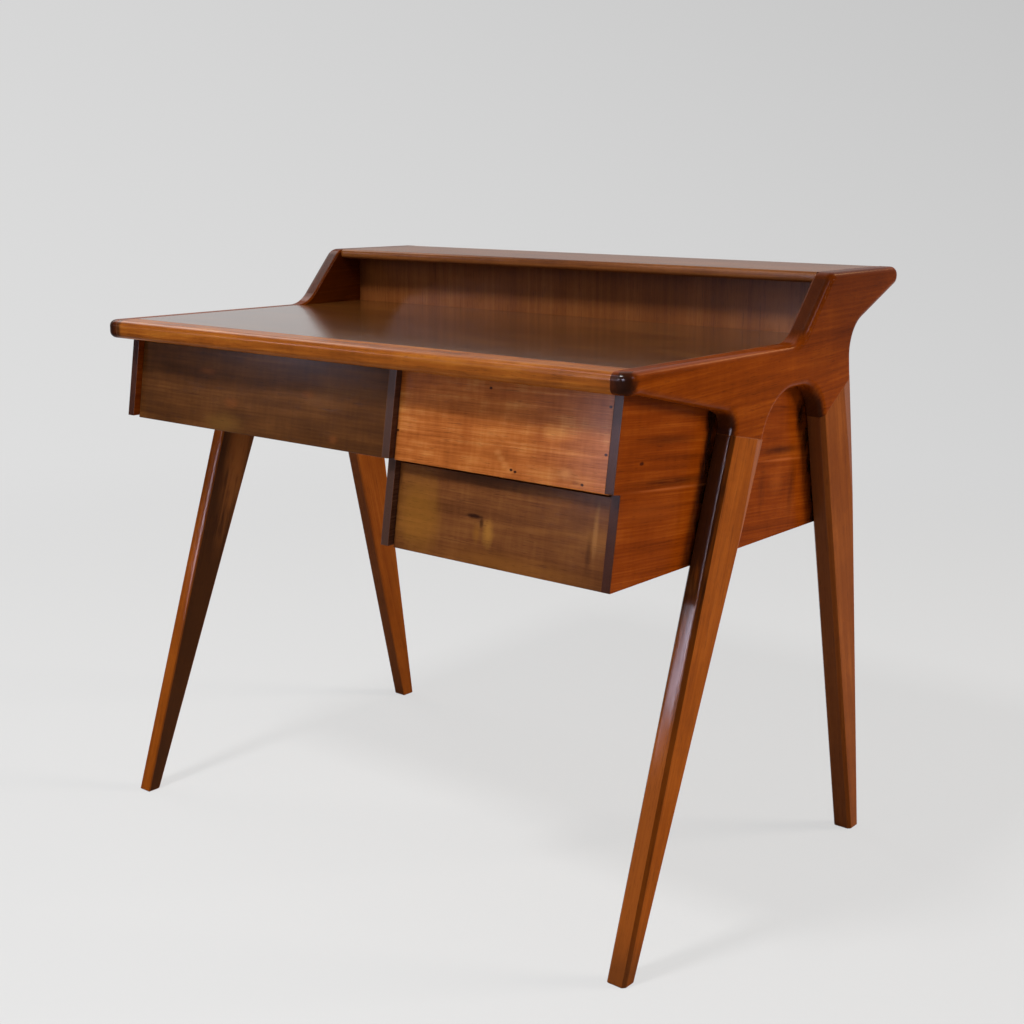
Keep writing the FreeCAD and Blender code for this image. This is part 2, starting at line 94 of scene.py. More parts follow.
# %% [markdown]
# ## The backdrop and the room
# The desk stands in front of a pale paper backdrop, with a darker room behind the viewer. A wall
# and a ceiling could be built for that, but they would catch shadows and take time to light.
# Here both are tones of the world, mixed by the direction of a ray. The paper is a little paler
# low down and darker to the upper right. It hangs on the far side of the desk only, and its
# edge towards the room is soft.

# %% Backdrop and room
paper_low_left, paper_low_right = linear("E8E8E8"), linear("E3E3E3")
paper_high_left, paper_high_right = linear("D6D6D6"), linear("C3C3C3")
room_tone = linear("2C2A28")
toward_backdrop = (-0.634, 0.773, 0)
paper_edge_from, paper_edge_to = 0.3, 0.75

world = bpy.data.worlds.new("pale paper backdrop")
bpy.context.scene.world = world
world.use_nodes = True
sky = world.node_tree
sky.nodes.clear()
direction = add(sky, "TexCoord").outputs["Generated"]
axes = add(sky, "SeparateXYZ", {0: direction}).outputs
rightward = add(sky, "MapRange", {"Value": axes["X"], "From Min": -0.85, "From Max": -0.3})
upward = add(sky, "MapRange", {"Value": axes["Z"], "From Min": -0.52, "From Max": 0.12})
low_band = add(sky, "Mix", {0: rightward, 6: paper_low_left, 7: paper_low_right},
               data_type="RGBA").outputs[2]
high_band = add(sky, "Mix", {0: rightward, 6: paper_high_left, 7: paper_high_right},
                data_type="RGBA").outputs[2]
paper = add(sky, "Mix", {0: upward, 6: low_band, 7: high_band}, data_type="RGBA").outputs[2]
facing = add(sky, "VectorMath", {0: direction, 1: toward_backdrop}, operation="DOT_PRODUCT")
on_paper = add(sky, "MapRange", {"Value": facing.outputs["Value"], "From Min": paper_edge_from,
                                 "From Max": paper_edge_to})
mirror_tone = add(sky, "Mix", {0: on_paper, 6: room_tone, 7: paper}, data_type="RGBA").outputs[2]
print("the backdrop is mixed with", len(sky.nodes), "nodes")

# %% [markdown]
# ## What each ray meets
# A Light Path node tells one kind of ray from another. The camera sees paper all round. A gloss
# sees the paper where it hangs and the darker room elsewhere, and that keeps polished wood deep
# in tone. All other rays get the same even light from every side, so the sky's strength sets
# only how light the shadows are.

# %% World
sky_strength = 0.27

ray = add(sky, "LightPath").outputs
seen = add(sky, "Background", {"Color": paper, "Strength": 1.0})
mirrored = add(sky, "Background", {"Color": mirror_tone, "Strength": 1.0})
cast = add(sky, "Background", {"Color": linear("FFFFFF"), "Strength": sky_strength})
gloss_ray = add(sky, "Math", {0: ray["Is Glossy Ray"], 1: ray["Is Transmission Ray"]},
                operation="MAXIMUM")
light = add(sky, "MixShader", {0: gloss_ray, 1: cast, 2: mirrored})
light = add(sky, "MixShader", {0: ray["Is Camera Ray"], 1: light, 2: seen})
add(sky, "OutputWorld", {"Surface": light})
print("world set, sky strength", sky_strength)

# %% [markdown]
# ## Lamps
# Area lamps give the plain light, because their size sets how soft the edge of a shadow is. The
# strongest stands low at the right and a little behind the desk, so the right frame shades the
# case beside it. One hangs high in front: it lights the drawers and the lower half of each leg,
# and the desktop shades the rest. A weak one in front and one from the left fill the shadows.
# The strongest lamp is left out of the gloss, because its mirror image would lie as a haze over
# the side frame.

# %% Lamps
def soft_lamp(name, place, aim, width, height, power, tone):
    """A rectangular soft lamp that faces a point."""
    lamp = bpy.data.lights.new(name, "AREA")
    lamp.shape = "RECTANGLE"
    lamp.size = width
    lamp.size_y = height
    lamp.energy = power
    lamp.color = linear(tone)[:3]
    holder = bpy.data.objects.new(name, lamp)
    bpy.context.scene.collection.objects.link(holder)
    holder.location = place
    holder.rotation_euler = (Vector(aim) - Vector(place)).to_track_quat("-Z", "Y").to_euler()
    return holder


desk_middle = (0, 0, 0.5)
key = soft_lamp("lamp right", (4.0, 3.2, 2.0), desk_middle, 1.6, 1.6, 240, "FFF6EC")
key.visible_glossy = False
soft_lamp("lamp high front", (-0.3, -1.75, 3.3), desk_middle, 0.5, 0.5, 74, "FFFFFF")
soft_lamp("lamp front", (-1.2, -3.4, 2.2), desk_middle, 2.0, 1.8, 12, "FFFFFF")
soft_lamp("lamp left", (-2.6, 0.3, 2.6), desk_middle, 1.4, 1.4, 18, "FFFFFF")
print("four lamps; the strongest has", key.data.energy, "W")

# %% [markdown]
# ## Windows
# The bright lines on the legs, the drawers, the rail and the shoulder are reflections of the
# room's windows. A real window would also light the desk from its side. These are panels that
# only a gloss can see, so each one draws its highlight and adds no light. Each stands where a
# ray from the camera goes after it has met the face or arris that is to shine. Daylight from
# the sky is a little blue, and low sunlight is golden.

# %% Windows
daylight, sunlight = "E8E4FF", "FFC080"


def window(name, place, aim, width, height, brightness, tone=daylight):
    """A panel that only glossy rays see; white paper has a brightness of 1."""
    power = brightness * math.pi * width * height
    holder = soft_lamp(name, place, aim, width, height, power, tone)
    holder.visible_diffuse = False


leg_middle = (0.465, -0.17, 0.4)
leg_head = (0.465, -0.13, 0.58)
left_leg_middle = (-0.47, -0.15, 0.5)
horn = (0.48, 0.15, 0.82)
beam = (0.48, -0.1, 0.76)
rail_end = (0.45, -0.33, 0.76)
drawer_end = (0.44, -0.32, 0.67)
window("window on the legs", (-0.9, -2.74, 1.02), leg_middle, 0.34, 0.34, 12)
window("window on the leg corners", (-0.5, -2.88, 1.4), leg_middle, 0.4, 0.85, 15)
window("window on the left leg", (-6.1, -5.8, 2.0), left_leg_middle, 0.6, 0.9, 12)
window("window on the right leg's edge", (0.95, -2.5, 1.4), leg_head, 0.5, 0.7, 28)
window("window on the horn's edge", (2.8, -0.15, 2.65), horn, 0.7, 0.7, 5)
window("window on the shoulder's edge", (0.85, 2.5, 2.28), beam, 0.5, 0.5, 6, sunlight)
window("window on the drawers", (-1.24, -2.8, 0.87), drawer_end, 0.24, 0.3, 4)
window("window overhead", (-0.82, -1.2, 2.31), rail_end, 0.9, 0.3, 4)
windows = [light for light in bpy.data.lights if light.name.startswith("window")]
print(len(windows), "windows")

# %% [markdown]
# ## The floor
# A round floor takes the soft shadows. It is only a flat disc at the height of the feet, which
# is zero in the solid model. It is no part of the desk.

# %% Floor
floor_radius = 6.0

floor_mesh = bmesh.new()
bmesh.ops.create_circle(floor_mesh, cap_ends=True, segments=96, radius=floor_radius)
floor_data = bpy.data.meshes.new("floor")
floor_mesh.to_mesh(floor_data)
floor_mesh.free()
floor = bpy.data.objects.new("floor", floor_data)
bpy.context.scene.collection.objects.link(floor)
print("floor radius", floor_radius, "m")

# %% [markdown]
# ## Pale paper
# Blender's shadow catcher would need the picture to be laid over another one afterwards. This
# paper does it in one render: to the camera most of it is clear, so the backdrop's own tone
# shows through it and only part of each shadow is seen, as on bright paper in a photograph.
# Further out it fades away, so there is no horizon line from any side.

# %% Floor paper
fade_start, fade_end = 1.4, 3.4
seen_share = 0.2
mirrored_share = 0.05

floor_paper = bpy.data.materials.new("pale paper")
floor_paper.use_nodes = True
tree = floor_paper.node_tree
tree.nodes.clear()
place = add(tree, "TexCoord").outputs["Object"]
distance = add(tree, "VectorMath", {0: place}, operation="LENGTH").outputs["Value"]
near = add(tree, "MapRange", {"Value": distance, "From Min": fade_end, "From Max": fade_start},
           interpolation_type="SMOOTHSTEP")
ray = add(tree, "LightPath").outputs
to_camera = add(tree, "MapRange", {"Value": ray["Is Camera Ray"], "To Min": 1.0,
                                   "To Max": seen_share})
to_gloss = add(tree, "MapRange", {"Value": ray["Is Glossy Ray"], "To Min": 1.0,
                                  "To Max": mirrored_share})
solid_share = add(tree, "Math", {0: near, 1: to_camera}, operation="MULTIPLY")
solid_share = add(tree, "Math", {0: solid_share, 1: to_gloss}, operation="MULTIPLY")
matt = add(tree, "BsdfDiffuse", {"Color": linear("DCDCDC")})
clear = add(tree, "BsdfTransparent")
add(tree, "OutputMaterial", {"Surface": add(tree, "MixShader", {0: solid_share, 1: clear, 2: matt})})
floor_data.materials.append(floor_paper)
print("the paper fades away between", fade_start, "and", fade_end, "m from the desk's middle")

# %% [markdown]
# ## The figure of walnut
# Each board is cut from a log, so its figure is drawn as the log has it. Growth rings lie round
# the heart of the tree, which is off the board: a face that cuts them flat shows wide arches,
# one that cuts them square shows straight lines. Over them lie long dark streaks, fine lines,
# clouds of lighter and darker wood, and a faint ripple across the grain. A picture of wood could
# be laid on every face, but it would break off at each corner. These patterns are solid, in the
# board's own directions and counted in millimetres, so they run on round the corners.

# %% Figure
millimetre = 0.001
trunk_bend = 16.0
tone_spread = 2.4
darkest_at, lightest_at = 0.12, 0.88
# The Wave texture draws one ring in this much of its own units.
ring_unit = math.tau / 20


def patches(tree, board, size, detail=2.0, roughness=0.5):
    """Noise whose patches have this size in mm: along the grain, then both ways across it."""
    stretched = add(tree, "Mapping", {"Vector": board, "Scale": [1 / s for s in size]})
    return add(tree, "TexNoise", {"Vector": stretched, "Scale": 1.0, "Detail": detail,
                                  "Roughness": roughness})


def figure(tree, board, tones, heart, ring, shares, cloud):
    """Colour of bare wood in dark, middle and light tones; shares say how strong each pattern is."""
    bend = patches(tree, board, (420, 110, 110), 1.0).outputs["Color"]
    bend = add(tree, "VectorMath", {0: bend, 1: (0.5, 0.5, 0.5)}, operation="SUBTRACT")
    bend = add(tree, "VectorMath", {0: bend, 1: (0, trunk_bend, trunk_bend), 2: board},
               operation="MULTIPLY_ADD")
    round_heart = add(tree, "VectorMath", {0: bend, 1: (0, *heart)}, operation="SUBTRACT")
    rings = add(tree, "TexWave", {"Vector": round_heart, "Scale": ring_unit / ring,
                                  "Distortion": 2.2, "Detail": 3.0, "Detail Scale": 0.35},
                wave_type="RINGS", rings_direction="X", wave_profile="SIN")
    rings = add(tree, "MapRange", {"Value": rings, "To Min": 0.3, "To Max": 0.7})
    patterns = {"rings": rings,
                "streaks": patches(tree, bend, (480, 9, 9), 4.0, 0.55),
                "lines": patches(tree, board, (150, 1.5, 1.5), 2.0, 0.6),
                "cloud": patches(tree, board, cloud, 3.0, 0.5),
                "ripple": patches(tree, board, (9, 55, 55), 2.0, 0.6)}
    tone = 0.5
    for name, pattern in patterns.items():
        centred = add(tree, "Math", {0: pattern, 1: 0.5}, operation="SUBTRACT")
        tone = add(tree, "Math", {0: centred, 1: tone_spread * shares[name], 2: tone},
                   operation="MULTIPLY_ADD")
    ramp = add(tree, "ValToRGB", {"Fac": tone})
    ramp.color_ramp.elements[0].color = linear(tones[0])
    ramp.color_ramp.elements[0].position = darkest_at
    ramp.color_ramp.elements[1].color = linear(tones[2])
    ramp.color_ramp.elements[1].position = lightest_at
    middle = ramp.color_ramp.elements.new(0.5)
    middle.color = linear(tones[1])
    return ramp


print("the log wanders by up to", trunk_bend / 2, "mm from a straight line")

# %% [markdown]
# ## Knots, stains, painted shade and end grain
# A knot, a faded patch or a dark streak is an uneven cloud at its own place. It could be painted
# by hand on a picture of the board, but a place and a size in millimetres are easier to move. A
# round fade is stretched to size, the first number along the grain and the others across it,
# and pushed about by noise. Its strength says how much of its tone shows, and its edge how soft
# it is, from a hard border near 0 to a wide fade at 1. Some of these marks paint shade and light
# instead. Where a board is cut across, the open ends of its fibres drink in more stain and
# polish, so the wood turns darker as the surface turns towards the grain. The same function
# tints any face by the way that it faces; on the legs such tints are painted shade and light.

# %% Marks and ends
ragged_patch = 0.45
ragged_reach = 0.55


def marked(tree, colour, place, board, turn, marks):
    """Colour with knots, stains, painted shade and painted light on it, each given as place, size,
    tone, strength and edge.
    """
    for at, size, mark_tone, strength, edge in marks:
        ragged = patches(tree, board, [s * ragged_patch for s in size], 3.0, 0.6).outputs["Color"]
        ragged = add(tree, "VectorMath", {0: ragged, 1: (0.5, 0.5, 0.5)}, operation="SUBTRACT")
        reach = [s * millimetre * ragged_reach for s in size]
        ragged = add(tree, "VectorMath", {0: ragged, 1: reach, 2: place}, operation="MULTIPLY_ADD")
        near = add(tree, "Mapping", {"Vector": ragged, "Location": [s * millimetre for s in at],
                                     "Rotation": turn, "Scale": [s * millimetre for s in size]},
                   vector_type="TEXTURE")
        spot = add(tree, "TexGradient", {"Vector": near}, gradient_type="SPHERICAL")
        spot = add(tree, "MapRange", {"Value": spot.outputs["Fac"], "From Max": edge,
                                      "To Max": strength}, interpolation_type="SMOOTHSTEP")
        colour = add(tree, "Mix", {0: spot, 6: colour, 7: linear(mark_tone)}, data_type="RGBA").outputs[2]
    return colour


def tinted_towards(tree, colour, way, tone, strength, start, end):
    """Colour that turns to another tone where the surface faces along a direction."""
    normal = add(tree, "NewGeometry").outputs["Normal"]
    facing = add(tree, "VectorMath", {0: normal, 1: way}, operation="DOT_PRODUCT").outputs["Value"]
    share = add(tree, "MapRange", {"Value": facing, "From Min": start, "From Max": end,
                                   "To Max": strength}, interpolation_type="SMOOTHSTEP")
    return add(tree, "Mix", {0: share, 6: colour, 7: linear(tone)}, data_type="RGBA").outputs[2]


print("a mark's edge is pushed about by up to", ragged_reach / 2, "of its size")

# %% [markdown]
# ## Hand-sanded legs
# The legs were sanded by hand, which left their narrow faces a little round from side to side.
# The solid has them flat. Its shape stays as it is, and a Bump node turns the light instead: the
# height falls with the fourth power of the distance from the middle, so a face is flat along
# its middle and rolls over near its edges.

# %% Sanded faces
def crowned(tree, place, normal, middle, half_width, fall):
    """Normal of a face whose middle lies this far from X = 0 and whose edges fall by some mm."""
    across = add(tree, "SeparateXYZ", {0: place}).outputs["X"]
    across = add(tree, "Math", {0: across}, operation="ABSOLUTE")
    across = add(tree, "Math", {0: across, 1: middle * millimetre}, operation="SUBTRACT")
    across = add(tree, "Math", {0: across, 1: half_width * millimetre}, operation="DIVIDE")
    across = add(tree, "Clamp", {"Value": across, "Min": -1.0, "Max": 1.0})
    square = add(tree, "Math", {0: across, 1: across}, operation="MULTIPLY")
    fourth = add(tree, "Math", {0: square, 1: square}, operation="MULTIPLY")
    height = add(tree, "Math", {0: fourth, 1: -1.0}, operation="MULTIPLY")
    return add(tree, "Bump", {"Height": height, "Strength": 1.0, "Distance": fall * millimetre,
                              "Normal": normal})


leg_crown = {"middle": 465, "half_width": 10.5, "fall": 0.46}
print("the edges of a leg fall by", leg_crown["fall"], "mm")

# %% [markdown]
# ## Pores
# Walnut has open pores, dark dashes that run along the grain. They are about 0.2 mm wide, too
# fine for this camera, so the short ones are drawn 1 mm wide and the long ones 1.5 mm. Each is a
# peak of stretched noise, cut off by a Map Range node.

# %% Pores
pore_strength = 0.3


def open_pores(tree, board, dashes):
    """How dark the pores make each place; dashes is the strength of the long ones."""
    pores = patches(tree, board, (14, 1.0, 1.0), 1.0)
    pores = add(tree, "MapRange", {"Value": pores, "From Min": 0.62, "From Max": 0.72,
                                   "To Max": pore_strength})
    long_dashes = patches(tree, board, (48, 1.5, 1.5), 1.0)
    long_dashes = add(tree, "MapRange", {"Value": long_dashes, "From Min": 0.69, "From Max": 0.75,
                                         "To Max": dashes})
    return add(tree, "Math", {0: pores, 1: long_dashes}, operation="MAXIMUM")


print("short pores show", pore_strength, "of their dark tone")

# %% [markdown]
# ## Worn arrises with a painted highlight
# Sixty years of hands have softened the arrises. Rounding the solid would change its shape, so
# a Bevel node bends the light as a rounded arris would. Where its normal and the flat one part,
# there is an arris, and there the stain has worn thin and the paler wood shows. That paler tone
# is also a painted highlight along each arris.

# %% Arrises
# Paler tone of a worn arris; it also paints the highlight along the arris.
worn_and_highlight_tone = "A8602C"
worn_and_highlight_share = 0.35


def worn_and_highlit_arrises(tree, colour, arris):
    """Colour that is paler on each arris from wear and a painted highlight, and the normal of an
    arris rounded by some mm.
    """
    soft = add(tree, "Bevel", {"Radius": arris * millimetre}, samples=6)
    flat = add(tree, "NewGeometry").outputs["Normal"]
    agree = add(tree, "VectorMath", {0: soft, 1: flat}, operation="DOT_PRODUCT").outputs["Value"]
    worn_and_highlit = add(tree, "MapRange", {"Value": agree, "From Min": 0.99, "From Max": 0.86,
                                  "To Max": worn_and_highlight_share})
    colour = add(tree, "Mix", {0: worn_and_highlit, 6: colour, 7: linear(worn_and_highlight_tone)}, data_type="RGBA").outputs[2]
    return colour, soft


print("on a sharp arris", worn_and_highlight_share, "of the worn tone shows")

# %% [markdown]
# ## Old lacquer
# The desk has a clear lacquer, which gives a sharp gloss over soft wood. One shiny surface would
# look like plastic, so this is a clear coat with the IOR of lacquer, 1.5, over a rough body. The
# function below puts the patterns together, one layer on the next: the bare figure, tints,
# marks, dark ends, pores and worn arrises. Some tints and marks are painted shade and light, and
# the paler arrises are also a painted highlight. The pores also lie a little low, and slow waves
# are left from sanding.

# %% Lacquered wood
pore_tone = "1C0C05"
end_start, end_full = 0.35, 0.9
# The waves and the pores are both counted in the relief of the board.
wave_height, pore_height = 3.0, -1.5
even_shares = {"rings": 0.10, "streaks": 0.30, "lines": 0.16, "cloud": 0.25, "ripple": 0.06}


def wood(name, tones, grain=(1, 0, 0), heart=(60, 120), start=(0, 0, 0), ring=4.0,
         shares=even_shares, marks=(), gloss=0.2, coat=0.6, cloud=(120, 40, 40), ends="2A150C",
         end_strength=0.8, tints=(), dashes=0.45, relief=0.06, crown=None, arris=1.5):
    """Lacquered wood for one board: heart and start place it in its log, all lengths in mm."""
    material = bpy.data.materials.new(name)
    material.use_nodes = True
    tree = material.node_tree
    tree.nodes.clear()
    place = add(tree, "TexCoord").outputs["Object"]
    turn = Vector(grain).to_track_quat("X", "Z").to_euler()
    board = add(tree, "Mapping", {"Vector": place, "Location": [s * millimetre for s in start],
                                  "Rotation": turn, "Scale": (millimetre,) * 3},
                vector_type="TEXTURE")
    colour = figure(tree, board, tones, heart, ring, shares, cloud)
    for tint in tints:
        colour = tinted_towards(tree, colour, *tint)
    colour = marked(tree, colour, place, board, turn, marks)
    for way in (Vector(grain).normalized(), -Vector(grain).normalized()):
        colour = tinted_towards(tree, colour, way, ends, end_strength, end_start, end_full)

    dark = open_pores(tree, board, dashes)
    colour = add(tree, "Mix", {0: dark, 6: colour, 7: linear(pore_tone)}, data_type="RGBA").outputs[2]
    colour, soft = worn_and_highlit_arrises(tree, colour, arris)

    height = patches(tree, board, (60, 45, 45), 1.0)
    height = add(tree, "Math", {0: height, 1: wave_height}, operation="MULTIPLY")
    height = add(tree, "Math", {0: dark, 1: pore_height, 2: height}, operation="MULTIPLY_ADD")
    if crown:
        soft = crowned(tree, place, soft, **crown)
    surface = add(tree, "Bump", {"Height": height, "Strength": 0.5, "Distance": relief * millimetre,
                                 "Normal": soft})
    body = add(tree, "BsdfPrincipled",
               {"Base Color": colour, "Roughness": 0.5, "Normal": surface,
                "Specular IOR Level": 0.0, "Coat Weight": coat, "Coat Roughness": gloss,
                "Coat IOR": 1.5, "Coat Normal": surface})
    add(tree, "OutputMaterial", {"Surface": body})
    return material


widest = math.degrees(math.acos(end_start))
print("a face within", round(widest), "degrees of square to the grain is darker")

# %% [markdown]
# ## Putting a finish on a piece
# Every piece of the solid model comes with one slot that holds a plain material. The finish
# takes its place there. A second slot could be added instead, but then each face would have to
# be told to use it.

# %% Finish a piece
def finish(material, *names):
    """Gives these solids the material."""
    for name in names:
        nodes[name].material_slots[0].material = material
    print(material.name, "on", ", ".join(names))


print(sum(len(node.material_slots) for node in nodes.values()), "slots in", len(nodes), "solids")

# %% [markdown]
# ## The side frames
# The shoulders are sawn from thick boards whose grain runs front to back, so the rounded nose at
# the front and the slope of each horn show end grain, darker and veined. One material for both
# would give them the same figure, as if cut from one place, so each side has its own, with a
# dark mark on its nose and one over the head of its horn.

# %% Shoulders
shoulder_tones = ("582200", "783202", "96480A")

for side, name in ((1, "right"), (-1, "left")):
    nose_end = ((470 * side, -326, 747), (19, 15, 22), "2C160D", 0.85, 0.45)
    horn_head = ((470 * side, 190, 840), (260, 80, 170), "3E1400", 0.6, 0.8)
    shoulder = wood("lacquered walnut of the %s shoulder" % name, shoulder_tones,
                    grain=(0, 1, 0.04), heart=(70 * side, 40), start=(480 * side, 60, 700),
                    marks=(nose_end, horn_head), coat=0.4)
    finish(shoulder, "shoulder_" + name)

# %% [markdown]
# ## Front legs
# The legs are separate pieces with the grain along their length, which is why each joint shows
# as a change of figure. The facets on their front corners get painted shade, darker than the
# faces beside them. The right leg has painted shade at its head, painted light down its front
# face, and is darker at the foot. The left one turns its inner side to the camera; that side is
# painted in shade, nearly black, but for a golden wedge of painted light at the rear.
# A tint is given as the way that a face looks, its tone, its strength, and how squarely a face
# has to look that way before the tint starts and is full.

# %% Front legs
leg_tones = ("6C300A", "8C4610", "AA5C1C")
along_front_leg = (0, 0.304, 0.953)
leg_shares = {"rings": 0.06, "streaks": 0.22, "lines": 0.2, "cloud": 0.22, "ripple": 0.04}
leg_look = {"shares": leg_shares, "gloss": 0.1, "crown": leg_crown}
# Painted shade on the facets of the front corners.
painted_shade_facets = [((x, -0.7, 0.15), "542606", 0.65, 0.9, 0.97) for x in (0.7, -0.7)]

# Painted light down the right leg's front face, and painted shade over its head.
painted_light_front = ((0, -0.95, 0.3), "A45A28", 0.42, 0.9, 0.97)
painted_shade_head = ((464, -128, 602), (280, 40, 12), "34180A", 0.9, 0.55)
darker_foot = ((465, -300, 4), (75, 60, 60), "4A2A16", 0.55, 0.9)
right_leg = wood("lacquered walnut of the right front leg", leg_tones, grain=along_front_leg,
                 heart=(160, 70), start=(40, -200, 300), marks=(painted_shade_head, darker_foot),
                 tints=(*painted_shade_facets, painted_light_front), arris=2.0, **leg_look)
finish(right_leg, "front_leg_right")

# Painted shade on the left leg's inner side, and a golden wedge of painted light at its rear.
painted_shade_inside = ((1, 0, 0), "28190F", 0.9, 0.9, 0.98)
painted_light_wedge = ((-453, -92, 572), (260, 40, 34), "7A4822", 0.9, 0.7)
left_leg = wood("lacquered walnut of the left front leg", leg_tones, grain=along_front_leg,
                heart=(160, 70), start=(60, -150, 300), marks=(painted_light_wedge,),
                tints=(*painted_shade_facets, painted_shade_inside), arris=3.0, **leg_look)
finish(left_leg, "front_leg_left")

# %% [markdown]
# ## Rear legs
# The rear legs get painted shade: their tones are a little darker and browner than those of the
# front legs, most of all on their narrow front faces. They need no marks, so one material does
# for both.

# %% Rear legs
# Painted shade: the narrow front faces of the rear legs turn brown, and the tones below are a darker
# copy of the front legs' tones.
painted_shade_front = ((0, -1, 0), "5A3420", 0.6, 0.6, 0.95)
rear_legs = wood("lacquered walnut of the rear legs", ("602A08", "7C3E10", "98521C"),
                 grain=(0, -0.23, 0.973), heart=(-150, 80), start=(30, 200, 300),
                 tints=(painted_shade_front,), arris=2.0, **leg_look)
finish(rear_legs, "rear_leg_right", "rear_leg_left")

# %% [markdown]
# ## Desktop, rail and shelf
# The flat top and the shelf have the grain from side to side, and the top is polished so flat
# that it mirrors the backdrop at a low angle. The rounded rail along the front is a separate
# strip, more golden, with darker flecks and a dark left end. Each is a board from its own place
# in the log, so no two show the same figure.

# %% Top pieces
desktop = wood("polished walnut of the desktop", ("3A200C", "5C3414", "7A4E1E"),
               heart=(30, -140), start=(0, 0, 760), ring=6.0, gloss=0.13, coat=1.0, relief=0.03)
finish(desktop, "desktop")
dark_end = ((-452, -325, 747), (12, 22, 22), "2C160D", 0.8, 0.5)
front_rail = wood("lacquered walnut of the front rail", ("64300E", "985218", "BC7428"),
                  grain=(1, 0, 0.01), heart=(90, -60), start=(120, -320, 745),
                  cloud=(70, 18, 18), marks=(dark_end,))
finish(front_rail, "front_rail")
shelf = wood("lacquered walnut of the shelf", ("4A2410", "74421E", "90582A"),
             heart=(40, -120), start=(60, 230, 840), ring=6.0)
finish(shelf, "upper_shelf", "shelf_lipping")

# %% [markdown]
# ## The pale drawer front
# The upper right front is a paler board than the others, with pin knots, one small knot at its
# lower right and a light stroke where something once rubbed it. Noise alone would put knots
# anywhere, so each one is a mark at its own place, measured along the front and up it. The
# fronts slope, so a helper turns a distance up the slope into a place.

# %% Pale drawer front
front_rake = math.radians(8.6)


def on_front(x, height, foot_y, foot_z):
    """A place on a sloping drawer front, in mm, from its distance up the slope."""
    return (x, foot_y + height * math.sin(front_rake), foot_z + height * math.cos(front_rake))


# Y and Z of the lower edge of the upper fronts.
upper_foot = (-311.0, 613.0)
pin = (3.2, 2.2, 2.2)
pin_places = ((247.6, 107.1), (291.6, 11.2), (298.1, 9.6), (399.9, 7.1), (429.3, 101.8),
              (429.5, 46.1), (98.6, 39.0))
pale_marks = [(on_front(374, 16, *upper_foot), (30, 15, 15), "7E3C16", 0.55, 0.9),
              (on_front(374, 17, *upper_foot), (17, 10, 10), "CC8448", 0.6, 0.9),
              (on_front(390, 8, *upper_foot), (10, 4, 4), "6E3413", 0.6, 0.9),
              (on_front(330, 60, *upper_foot), (14, 40, 40), "8A4014", 0.45, 1.0),
              (on_front(215, 40, *upper_foot), (18, 40, 40), "8A4014", 0.4, 1.0)]
pale_marks += [(on_front(x, height, *upper_foot), (9, 6, 6), "D08848", 0.4, 0.9)
               for x, height in ((268, 30), (274, 23), (281, 16), (289, 10))]
pale_marks += [(on_front(x, height, *upper_foot), pin, "2A1108", 0.95, 0.5)
               for x, height in pin_places]
pale_shares = {"rings": 0.06, "streaks": 0.28, "lines": 0.28, "cloud": 0.36, "ripple": 0.12}
pale_board = wood("lacquered walnut of the pale drawer front", ("7E3C12", "B0622A", "D08A48"),
                  grain=(1, 0, 0.02), heart=(95, 35), start=(260, -300, 670),
                  shares=pale_shares, cloud=(60, 26, 26), gloss=0.15, marks=pale_marks)
finish(pale_board, "upper_drawer_front")

# %% [markdown]
# ## The lower drawer front
# This one is cut from darker heartwood. Its left end and its foot are golden, where the old
# finish has thinned, and its top is darkest, with painted shade under the front above. It has a
# short dark knot with a light patch beside it, and a light stripe near its right end.

# %% Lower drawer front
lower_foot = (-315.0, 496.5)
gold = "9A6420"
dull_shares = {"rings": 0.06, "streaks": 0.25, "lines": 0.14, "cloud": 0.4, "ripple": 0.1}
lower_marks = [(on_front(134, 50, *lower_foot), (54, 70, 70), gold, 0.5, 0.7),
               (on_front(290, 6, *lower_foot), (170, 24, 24), "8C5620", 0.45, 0.9),
               # Painted shade along the top, under the front above.
               (on_front(260, 112, *lower_foot), (200, 18, 18), "2A1A12", 0.6, 0.9),
               (on_front(254, 42, *lower_foot), (13, 24, 24), "AC7630", 0.6, 0.9),
               (on_front(236, 40, *lower_foot), (9, 18, 18), gold, 0.4, 1.0),
               (on_front(417, 68, *lower_foot), (6, 44, 44), "A87440", 0.5, 0.9),
               (on_front(409, 42, *lower_foot), (6, 30, 30), "2A140A", 0.5, 0.9),
               (on_front(230, 61, *lower_foot), (18, 4, 4), "1C0C07", 0.85, 0.7),
               (on_front(242, 54, *lower_foot), (5, 9, 9), "1C0C07", 0.7, 0.8)]
dark_board = wood("lacquered walnut of the lower drawer front", ("44230E", "6E4020", "8E5A2C"),
                  heart=(110, 20), start=(240, -300, 550), shares=dull_shares, gloss=0.15,
                  marks=lower_marks)
finish(dark_board, "lower_drawer_front")

# %% [markdown]
# ## The left drawer front
# The left front is the darkest board of all, with a few reddish flecks and a golden patch at
# its lower left. It shines less than the others, so its coat is thinner.

# %% Left drawer front
fleck = "7A4420"
left_marks = [(on_front(-287, 83, *upper_foot), (26, 6, 6), fleck, 0.7, 0.9),
              (on_front(-231, 42, *upper_foot), (22, 10, 10), fleck, 0.6, 0.9),
              (on_front(-74, 68, *upper_foot), (18, 8, 8), fleck, 0.6, 0.9),
              (on_front(-19, 13, *upper_foot), (12, 8, 8), fleck, 0.6, 0.9),
              (on_front(-245, 12, *upper_foot), (60, 20, 20), "745024", 0.6, 0.9)]
darkest_board = wood("lacquered walnut of the left drawer front", ("381E0E", "583418", "724824"),
                     heart=(100, 60), start=(-240, -300, 670), shares=dull_shares, gloss=0.15,
                     coat=0.45, marks=left_marks)
finish(darkest_board, "left_drawer_front")
